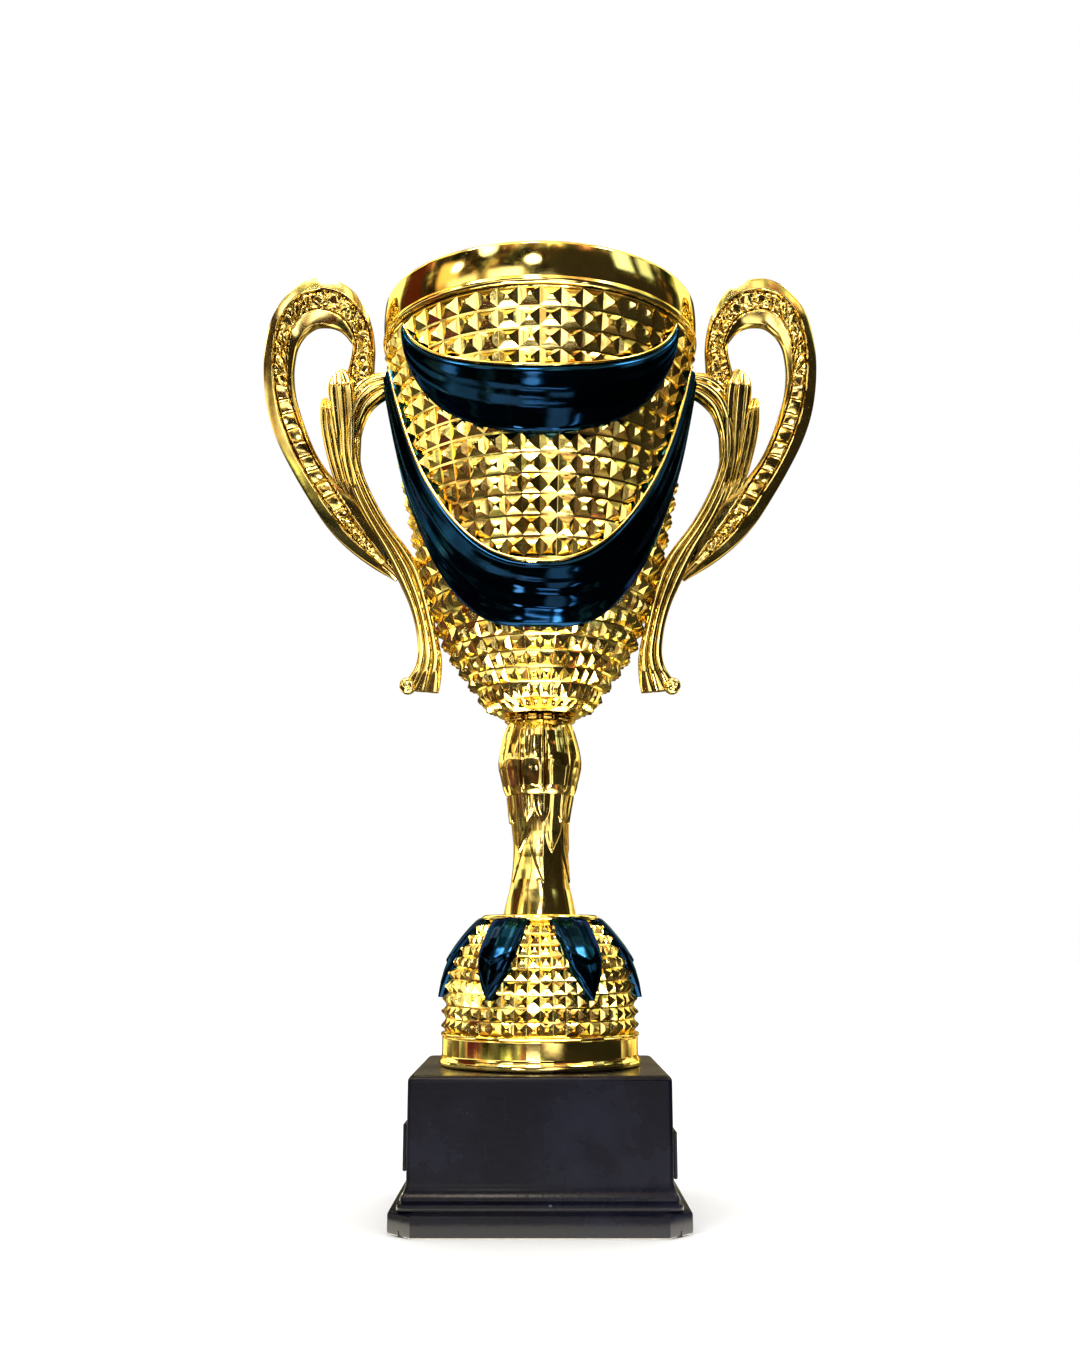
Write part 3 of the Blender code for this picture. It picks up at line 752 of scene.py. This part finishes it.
# Stations along each branch: (X, Z) of one edge, then of the other. The loop's last two numbers say where
# its strip of nuggets starts and ends, as shares of the width.
LOOP = [
    (65.5, 306.0, 77.0, 308.0, 0.30, 0.70),
    (66.4, 313.0, 77.0, 314.0, 0.16, 0.84),
    (66.4, 320.4, 75.7, 321.0, 0.10, 0.90),
    (66.3, 328.0, 74.9, 328.0, 0.08, 0.84),
    (67.6, 337.0, 77.4, 332.6, 0.14, 0.78),
    (70.2, 343.6, 80.2, 335.4, 0.20, 0.74),
    (74.0, 349.8, 83.4, 336.9, 0.25, 0.71),
    (80.0, 354.6, 86.8, 337.3, 0.27, 0.70),
    (88.9, 356.7, 90.0, 336.9, 0.27, 0.68),
    (96.5, 354.4, 93.0, 335.0, 0.27, 0.66),
    (102.6, 348.6, 95.5, 332.1, 0.26, 0.68),
    (107.2, 340.5, 97.4, 328.0, 0.28, 0.72),
    (109.4, 330.5, 98.3, 322.5, 0.32, 0.78),
    (110.1, 320.0, 98.5, 316.5, 0.36, 0.82),
    (109.2, 308.0, 97.6, 308.6, 0.38, 0.84),
    (107.0, 297.2, 95.6, 301.2, 0.38, 0.86),
    (103.2, 286.8, 91.8, 290.8, 0.38, 0.87),
    (97.9, 276.4, 86.6, 279.9, 0.37, 0.86),
    (91.8, 266.0, 80.0, 271.0, 0.36, 0.82),
    (85.3, 255.9, 72.6, 263.0, 0.33, 0.70),
    (78.6, 247.9, 67.6, 255.6, 0.32, 0.66),
    (72.0, 242.0, 62.8, 248.6, 0.32, 0.64),
    (66.4, 237.9, 59.2, 242.2, 0.33, 0.62),
    (61.8, 234.9, 56.6, 238.6, 0.34, 0.60),
    (58.4, 232.8, 54.8, 235.6, 0.34, 0.60),
    (56.2, 231.2, 53.8, 233.2, 0.34, 0.60),
]
SCROLL = [
    (54.5, 315.6, 54.5, 307.8),
    (58.5, 316.2, 58.0, 307.4),
    (63.0, 316.4, 61.6, 306.2),
    (68.4, 315.2, 65.0, 303.6),
    (73.4, 311.2, 68.0, 300.0),
    (76.6, 305.6, 69.8, 295.4),
    (78.2, 298.6, 70.9, 290.6),
    (78.6, 291.4, 71.3, 285.6),
    (78.0, 283.6, 70.8, 279.8),
    (76.2, 275.4, 69.0, 273.4),
    (73.2, 266.4, 65.8, 266.0),
    (69.4, 258.2, 61.8, 258.4),
    (65.0, 250.4, 57.2, 251.2),
    (60.8, 243.0, 51.4, 243.8),
    (57.0, 235.4, 46.4, 236.0),
    (53.4, 228.0, 44.0, 229.0),
    (50.6, 221.6, 42.2, 222.0),
    (48.4, 214.6, 40.6, 214.8),
    (47.1, 207.4, 38.9, 207.4),
    (46.9, 201.4, 37.8, 201.4),
    (48.0, 196.6, 37.7, 196.6),
    (50.6, 192.4, 38.0, 191.8),
    (53.2, 188.6, 38.8, 187.2),
]
LEAVES = {
    "inner": [
        (67.0, 258.0, 69.8, 257.0),
        (69.6, 268.0, 75.0, 266.4),
        (71.0, 280.0, 79.6, 279.6),
        (71.0, 292.0, 81.6, 292.4),
        (71.4, 302.0, 83.4, 303.0),
        (72.6, 310.0, 84.2, 309.4),
        (75.4, 316.0, 83.8, 313.4),
        (78.6, 318.4, 82.0, 316.2),
    ],
    "outer": [
        (71.6, 262.4, 74.6, 261.4),
        (74.4, 270.6, 80.0, 269.8),
        (77.0, 281.0, 84.2, 282.6),
        (79.0, 290.0, 86.5, 293.0),
        (80.8, 297.4, 87.0, 299.6),
        (82.8, 303.0, 87.0, 303.4),
        (84.6, 306.0, 86.6, 305.4),
    ],
}


def relief(name, stations, thickness, step, across):
    """A flat branch in the XZ plane with the same relief on both faces.

    thickness(t, along, length, *zone) is half its thickness, t of the way across, `along` from its start.
    """
    smooth = through(stations, 12)
    centres = (smooth[:, :2] + smooth[:, 2:4]) / 2
    rows, gone = evenly(smooth, centres, step)
    places = [math.sin(math.pi / 2 * (2 * k / across - 1)) for k in range(across + 1)]
    verts = []
    for (ax, az, bx, bz, *zone), along in zip(rows, gone):
        ring = []
        for s in places:
            t = (s + 1) / 2
            y = thickness(t, along, gone[-1], *zone)
            ring.append((ax + (bx - ax) * t, -y, az + (bz - az) * t))
        verts += ring
        verts += [(x, -y, z) for x, y, z in reversed(ring)]
    columns = 2 * (across + 1)
    faces = loop_faces(len(rows), columns, False)
    faces += end_caps(columns, len(verts))
    return piece(name, verts, faces, GOLD_HANDLE_SHADED, "gold_plate", ["handle_right"], 60)


def hump(q):
    """A half circle: 1 at 0, down to 0 at -1 and 1."""
    return math.sqrt(max(0.0, 1 - q * q))


def nuggets(along, across, length):
    """Lumps 0 to 1 on the strip, each tilted its own way: stones, then square blocks, then small stones."""
    share = along / length
    if 0.50 <= share < 0.82:
        block = along / 6.4 + 0.5
        offset = Vector((block % 1.0 - 0.5, across - 0.5, 0.0))
        tilt = noise.cell_vector(Vector((math.floor(block), 4.0, 2.0)))
        wall = min(1.0, (1 - 2 * abs(offset.x)) * 6)
    else:
        size = 3.6 if share < 0.36 else 5.0 if share < 0.50 else 2.6
        spot = Vector((along / size, across * 1.6, 3.0))
        gaps, cells = noise.voronoi(spot)
        offset = spot - cells[0]
        tilt = noise.cell_vector(cells[0] * 7.3)
        wall = min(1.0, (gaps[1] - gaps[0]) * 5)
    slope = (tilt.x - 0.5) * offset.x + (tilt.y - 0.5) * offset.y
    return wall * (0.75 + 1.3 * slope - 0.5 * offset.xy.length_squared)


def loop_thickness(t, along, length, low, high):
    """Round outer rim, strip of nuggets between two grooves, then the smooth inner band."""
    end = min(1.0, 0.3 + (1 - along / length) * 16)
    if t < low:
        q = t / low
        return end * (2.5 + 1.1 * q + 0.2 * hump(1 - q) - 0.9 * max(0.0, 8 * q - 7))
    if t > high:
        q = (t - high) / (1 - high)
        return end * (2.5 + 1.0 * (1 - q) + 0.2 * hump(q) - 0.9 * max(0.0, 1 - 8 * q))
    across = (t - low) / (high - low)
    edges = min(1.0, 10 * across, 10 * (1 - across))
    fade = min(1.0, max(0.0, (0.94 - along / length) * 14))
    return end * (2.0 + edges * 0.3 + 2.0 * fade * edges * nuggets(along, across, length))


def scroll_thickness(t, along, length):
    """Three smooth cords side by side, with sharp lines between them."""
    cord = min(t * 3, 2.999)
    q = 2 * (cord - math.floor(cord)) - 1
    raised = 0.6 if 1 <= cord < 2 else 0.0
    flare = min(1.0, 0.55 + (1 - along / length) * 9)
    return max(1.2, flare * (2.3 + (1.4 + raised) * hump(q) ** 0.6) * hump(2 * t - 1) ** 0.2)


def leaf_thickness(t, along, length):
    """A leaf of four flutes with raised veins, thicker towards its curled tip."""
    share = along / length
    flutes = 0.8 * abs(math.cos(3 * math.pi * t + 1.2 * share))
    taper = min(1.0, 0.4 + 3 * share, 0.45 + 5 * (1 - share))
    return max(0.6, taper * (1.2 + 2.3 * hump(2 * t - 1) ** 0.7 + flutes + 0.3 * share))


def curl(name, centre, radius, half):
    """The rolled end of a scroll: a round boss whose axis runs along Y, with a spiral groove."""
    cx, cz = centre
    sides = 48
    rings = list(np.linspace(0.12, 1.0, 10))
    verts = []
    for sign, outs in ((-1, rings), (1, rings[::-1])):
        for out in outs:
            for k in range(sides):
                angle = TAU * k / sides
                spiral = 0.28 * math.cos(angle - out * 11)
                y = half * (1 - out**4) ** 0.5 * 0.35 + half * 0.6 + spiral * (1 - out)
                x, z = cx + radius * out * math.cos(angle), cz + radius * out * math.sin(angle)
                verts.append((x, sign * y, z))
    faces = loop_faces(2 * len(rings), sides, False)
    faces += end_caps(sides, len(verts))
    return piece(name, verts, faces, GOLD_HANDLE_SHADED, "gold_plate", ["handle_right"], 50)


def build_handles():
    """The right handle's branches, and their mirror images on the left."""
    right = [
        relief("handle_loop_right", LOOP, loop_thickness, step=0.55, across=56),
        relief("handle_scroll_right", SCROLL, scroll_thickness, step=1.0, across=36),
        relief("handle_leaf_inner_right", LEAVES["inner"], leaf_thickness, step=0.8, across=40),
        relief("handle_leaf_outer_right", LEAVES["outer"], leaf_thickness, step=0.8, across=40),
        curl("handle_foot_right", (50.6, 189.8), 3.0, 3.4),
    ]
    for source in right:
        mirrored(source, source.name.replace("right", "left"), ["handle_left"])


# ---------------------------------------------------------------- plinth and hidden parts


def rounded_square(half, cut, height, corner):
    """32 points round a square. Corners are an "arc", or a straight "cut" with eased ends."""
    points = []
    for quarter in range(4):
        c, s = math.cos(quarter * math.pi / 2), math.sin(quarter * math.pi / 2)
        for k in range(8):
            t = k / 7
            if corner == "arc":
                a = math.pi / 2 * t
                x, y = half - cut + cut * math.cos(a), half - cut + cut * math.sin(a)
            else:
                ease = t + 0.04 * math.sin(TAU * t)
                x, y = half - cut * ease, half - cut * (1 - ease)
            points.append((x * c - y * s, x * s + y * c, height))
    return points


def build_plinth():
    """The moulded plinth: cut-cornered foot, mouldings and block, hollow, with a recess for the pad."""
    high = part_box("plinth_shell")[1] / MM
    wide, top = high.x, high.z
    block, hollow = 44.0, 40.6
    foot = [
        (wide - 0.9, 8.0, 0.0),
        (wide - 0.2, 8.1, 0.4),
        (wide, 8.1, 1.2),
        (wide, 8.1, 6.4),
        (wide - 0.3, 8.0, 7.1),
        (wide - 1.0, 7.9, 7.5),
        (wide - 2.7, 7.4, 8.0),
    ]
    upper = [
        (46.9, 1.8, 8.15),
        (46.7, 1.8, 8.4),
        (46.8, 1.8, 9.2),
        (46.5, 1.7, 9.9),
        (45.8, 1.6, 10.2),
        (45.5, 1.5, 10.5),
        (45.8, 1.5, 11.0),
        (45.7, 1.5, 12.0),
        (45.0, 1.5, 12.9),
        (44.4, 1.5, 14.4),
        (block, 1.5, 16.4),
        (block, 1.5, top - 2.0),
        (block - 0.1, 1.6, top - 1.2),
        (block - 0.5, 1.8, top - 0.5),
        (block - 1.3, 2.0, top - 0.05),
        (block - 3.0, 2.4, top),
    ]
    rings = [rounded_square(*section, "cut") for section in foot]
    rings += [rounded_square(*section, "arc") for section in upper]
    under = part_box("ballast_block")[1].z / MM + 0.3
    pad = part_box("base_pad")[1]
    recess_half, recess_top = pad.x / MM + 0.3, pad.z / MM + 0.3

    def circle(radius, height):
        angles = [TAU / 4 * (k // 8 + (k % 8) / 8 + 1 / 16) for k in range(32)]
        return [(radius * math.cos(a), radius * math.sin(a), height) for a in angles]

    rings += [circle(ROD_HOLE, top), circle(ROD_HOLE, under)]
    rings += [rounded_square(hollow, 1.0, height, "arc") for height in (under, recess_top)]
    rings += [rounded_square(recess_half, 0.6, height, "arc") for height in (recess_top, 0.0)]
    verts = [spot for ring in rings for spot in ring]
    faces = loop_faces(len(rings), 32, True)
    piece("plinth_moulded", verts, faces, PLASTIC, "black_plastic", ["plinth_shell"], 32)


def build_rod():
    """The M6 rod with its thread cut in, and chamfered ends."""
    low, high = (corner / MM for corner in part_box("tie_rod"))
    radius = high.x
    sides, pitch, fall, thread = 24, 1.0, 0.25, 0.55
    rows = round((high.z - low.z) / fall) + 1
    verts = []
    for row in range(rows):
        height = low.z + (high.z - low.z) * row / (rows - 1)
        ends = min(1.0, 0.75 + 0.25 * min(height - low.z, high.z - height))
        for k in range(sides):
            turn = k / sides
            depth = abs(((height / pitch - turn) % 1.0) - 0.5) * 2
            r = ends * (radius - 0.02 - thread * (1 - depth))
            verts.append((r * math.cos(TAU * turn), r * math.sin(TAU * turn), height))
    faces = loop_faces(rows, sides, False)
    faces += end_caps(sides, len(verts))
    piece("tie_rod_threaded", verts, faces, STEEL, "zinc_steel", ["tie_rod"], 50)


def dress_cad_nodes():
    """Better materials on the CAD nodes that stay as they are."""
    looks = {
        "side_plate": PLASTIC,
        "base_pad": FOAM,
        "ballast": PLASTER,
        "tie_rod": STEEL,
        "handle_screw": STEEL,
    }
    for name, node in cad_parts.items():
        for start, look in looks.items():
            if name.startswith(start):
                node.data.materials.clear()
                node.data.materials.append(look)


# ---------------------------------------------------------------- studio

# The shop that polished surfaces reflect: its colour by height (0 straight down, 1 straight up), the
# brightness and the tint of its patches by noise value, then its windows, dark or coloured areas and lamps.
HEIGHTS = [
    (0.0, (0.12, 0.11, 0.08)),
    (0.40, (0.070, 0.062, 0.044)),
    (0.48, (0.10, 0.091, 0.065)),
    (0.56, (0.42, 0.38, 0.28)),
    (0.63, (0.040, 0.036, 0.024)),
    (0.80, (0.050, 0.045, 0.030)),
    (0.86, (0.62, 0.57, 0.44)),
    (0.92, (0.82, 0.74, 0.56)),
    (1.0, (1.05, 0.96, 0.76)),
]
PATCHES = [
    (0.36, (0.3, 0.3, 0.3)),
    (0.50, (1.0, 1.0, 1.0)),
    (0.58, (3.5, 3.3, 2.8)),
    (0.66, (14.0, 13.2, 11.0)),
]
TINTS = [
    (0.34, (1.4, 0.60, 0.50)),
    (0.42, (0.55, 0.75, 0.45)),
    (0.50, (1.0, 1.0, 0.9)),
    (0.58, (1.4, 0.85, 0.50)),
    (0.68, (1.0, 1.0, 0.8)),
]
# Windows and areas: degrees round from the front (more is to the right), half width, lowest and highest
# elevation, colour. Later ones lie over earlier ones.
AREAS = [
    (136, 15, 11, 42, (1.9, 1.8, 1.3)),
    (-138, 17, 9, 42, (2.2, 2.05, 1.5)),
    (137, 16, -16, -4, (1.9, 1.8, 1.3)),
    (-138, 18, -16, -4, (2.2, 2.05, 1.5)),
    (70, 32, -2, 23, (0.030, 0.022, 0.012)),
    (-24, 12, 7, 20, (3.0, 2.7, 2.0)),
    (31, 25, -2, 38, (0.035, 0.028, 0.016)),
    (64, 7, 27, 41, (1.8, 2.0, 1.5)),
    (84, 6, 27, 39, (1.1, 1.2, 0.9)),
    (-68, 9, 18, 33, (1.6, 1.0, 0.35)),
    (-56, 12, 6, 19, (1.8, 1.6, 1.1)),
    (-98, 20, 5, 13, (1.7, 1.65, 1.1)),
    (-104, 11, 17, 50, (0.10, 0.02, 0.008)),
    (0, 24, 62, 82, (2.6, 2.1, 1.5)),
    (-81, 11, -16, 3, (0.110, 0.012, 0.030)),
    (-63, 7, -16, 3, (0.014, 0.010, 0.007)),
    (-38, 13, -16, 3, (0.016, 0.020, 0.014)),
    (-10, 14, -16, 3, (0.080, 0.022, 0.009)),
    (70, 42, -16, 3, (0.020, 0.018, 0.010)),
    (15, 8, -16, 3, (2.4, 2.1, 1.6)),
    (31, 1.2, -14, -6, (9.0, 8.6, 7.8)),
    (3, 14, 12, 14, (10.0, 9.7, 8.8)),
    (-6, 8, 5, 6.5, (10.0, 9.8, 9.0)),
    (8, 11, -22, -20, (13.0, 12.6, 11.6)),
    (-4, 15, -32, -29, (13.0, 12.6, 11.6)),
    (180, 7, -30, 40, (0.3, 0.24, 0.14)),
]
# Lamps: degrees round from the front, elevation, radius, brightness.
LAMPS = [
    (-5, 27, 4.0, 10),
    (-40, 40, 5.0, 5),
    (-62, 28, 3.5, 6),
    (-61, 55, 4.0, 45),
    (-9, 58, 4.0, 45),
    (64, 55, 4.0, 45),
    (-24, -20, 3.5, 28),
    (22, -30, 3.5, 28),
]


def shop(nodes, direction):
    """Colour of the things round the cup, in a direction from it: a dim shop with windows and lamps."""
    axes = nodes.add("SeparateXYZ", Vector=direction)
    x, y, z = (axes.outputs[name] for name in "XYZ")
    azimuth = nodes.math("ARCTAN2", x, nodes.math("MULTIPLY", y, -1.0))
    elevation = nodes.math("ARCSINE", z)
    colour = nodes.ramp(nodes.math("MULTIPLY_ADD", z, 0.5, 0.5), HEIGHTS)
    for scale, detail, stops in ((4.5, 3.0, PATCHES), (2.6, 1.0, TINTS)):
        mix = nodes.add("Mix", {"data_type": "RGBA", "blend_type": "MULTIPLY"})
        mix.inputs[0].default_value = 1.0
        nodes.feed(mix.inputs[6], colour)
        nodes.feed(mix.inputs[7], nodes.ramp(nodes.noise(direction, scale, detail, 0.6), stops))
        colour = mix.outputs[2]
    for centre, half, low, high, light in AREAS:
        soft = min(3.0, half)
        turned_by = nodes.math("SUBTRACT", azimuth, math.radians(centre))
        off = nodes.math("ABSOLUTE", nodes.math("WRAP", turned_by, math.pi, -math.pi))
        side = nodes.smooth(off, math.radians(half + soft), math.radians(half - soft))
        bottom = nodes.smooth(elevation, math.radians(low - 2), math.radians(low + 2))
        top = nodes.smooth(elevation, math.radians(high + 2), math.radians(high - 2))
        inside = nodes.math("MULTIPLY", side, nodes.math("MULTIPLY", bottom, top))
        colour = nodes.blend(inside, colour, light)
    for around, above, size, power in LAMPS:
        a, e = math.radians(around), math.radians(above)
        aim = (math.sin(a) * math.cos(e), -math.cos(a) * math.cos(e), math.sin(e))
        near = nodes.add("VectorMath", {"operation": "DOT_PRODUCT"})
        nodes.feed(near.inputs[0], direction)
        near.inputs[1].default_value = aim
        edges = [math.cos(math.radians(size * factor)) for factor in (1.5, 0.5)]
        spot = nodes.smooth(near.outputs["Value"], *edges)
        colour = nodes.blend(spot, colour, (power, power * 0.93, power * 0.78))
    return colour


def build_floor():
    """Pale paper. To polished pieces it glows instead: a painted reflection of the shop, and a painted
    bright patch close round the plinth.
    """
    made, nodes, shader, where = material("floor_paper")
    mottle = nodes.smooth(nodes.noise(where, 3.0), 0.2, 0.8)
    paper = nodes.blend(mottle, (0.87, 0.868, 0.862), (0.90, 0.898, 0.892))
    from_cup = nodes.add("VectorMath", {"operation": "SUBTRACT"})
    nodes.feed(from_cup.inputs[0], where)
    from_cup.inputs[1].default_value = (0.0, 0.0, 0.12)
    direction = nodes.add("VectorMath", {"operation": "NORMALIZE"})
    nodes.feed(direction.inputs[0], from_cup.outputs[0])
    away = nodes.add("VectorMath", {"operation": "LENGTH"})
    nodes.feed(away.inputs[0], where)
    # Painted light: glossy rays see the floor glow with the shop's colours, brightest in a patch round the
    # plinth.
    close = nodes.smooth(away.outputs["Value"], 0.17, 0.11)
    polished_ray = nodes.add("LightPath").outputs["Is Glossy Ray"]
    glow = nodes.blend(close, shop(nodes, direction.outputs[0]), (8.0, 7.5, 6.1))
    nodes.wire(shader, Base_Color=nodes.blend(polished_ray, paper, (0.0, 0.0, 0.0)))
    nodes.wire(shader, Emission_Color=glow, Emission_Strength=polished_ray)
    nodes.wire(shader, Roughness=0.8, Specular_IOR_Level=0.1)
    mesh = bpy.data.meshes.new("floor")
    reach, sides = 6.0, 64
    angles = [TAU * k / sides for k in range(sides)]
    ring = [(reach * math.cos(a), reach * math.sin(a), 0.0) for a in angles]
    mesh.from_pydata(ring, [], [tuple(range(sides))])
    mesh.materials.append(made)
    floor = in_scene("floor", mesh)


def build_world():
    """Plain white to the camera and to matt surfaces. Polished ones reflect the shop."""
    world = bpy.data.worlds.new("studio")
    world.use_nodes = True
    world.cycles.sampling_method = "NONE"
    bpy.context.scene.world = world
    nodes = Nodes(world.node_tree)
    direction = nodes.add("TexCoord").outputs["Generated"]
    rays = nodes.add("LightPath")
    plain = nodes.blend(rays.outputs["Is Camera Ray"], (1.2, 1.2, 1.2), (1.0, 1.0, 1.0))
    seen = nodes.blend(rays.outputs["Is Glossy Ray"], plain, shop(nodes, direction))
    back = nodes.add("Background", Color=seen)
    nodes.feed(nodes.add("OutputWorld").inputs["Surface"], back.outputs[0])


def build_lights():
    """Three soft lamps aimed at the stem. Polished surfaces don't reflect them."""
    target = Vector((0.0, 0.0, 0.19))
    for name, spot, size, power in (
        ("key", (-0.9, -1.1, 1.3), 0.7, 8.0),
        ("fill", (1.2, -0.8, 0.9), 0.8, 4.0),
        ("top", (0.1, 0.5, 1.6), 0.9, 5.0),
    ):
        data = bpy.data.lights.new(name, "AREA")
        data.shape = "DISK"
        data.size = size
        data.energy = power
        lamp = in_scene(name, data)
        lamp.location = spot
        lamp.visible_glossy = False
        lamp.rotation_mode = "QUATERNION"
        lamp.rotation_quaternion = (target - Vector(spot)).to_track_quat("-Z", "Y")


def build_camera():
    """A low camera close in front of the cup, tilted up."""
    data = bpy.data.cameras.new("camera")
    data.lens = 36.8
    data.sensor_width = 36.0
    data.clip_start = 0.01
    camera = in_scene("camera", data)
    camera.location = (0.0, -0.51868, 0.09378)
    tilt_up = 10.95
    camera.rotation_euler = (math.radians(90 + tilt_up), 0.0, 0.0)
    bpy.context.scene.camera = camera


build_bowl()
build_foot()
build_rim()
build_column()
build_knop()
build_collar()
build_base_disc()
build_swags()
build_petals()
build_handles()
build_plinth()
build_rod()
dress_cad_nodes()
build_floor()
build_world()
build_lights()
build_camera()
bpy.context.scene.view_settings.view_transform = "Standard"

bpy.context.view_layer.update()
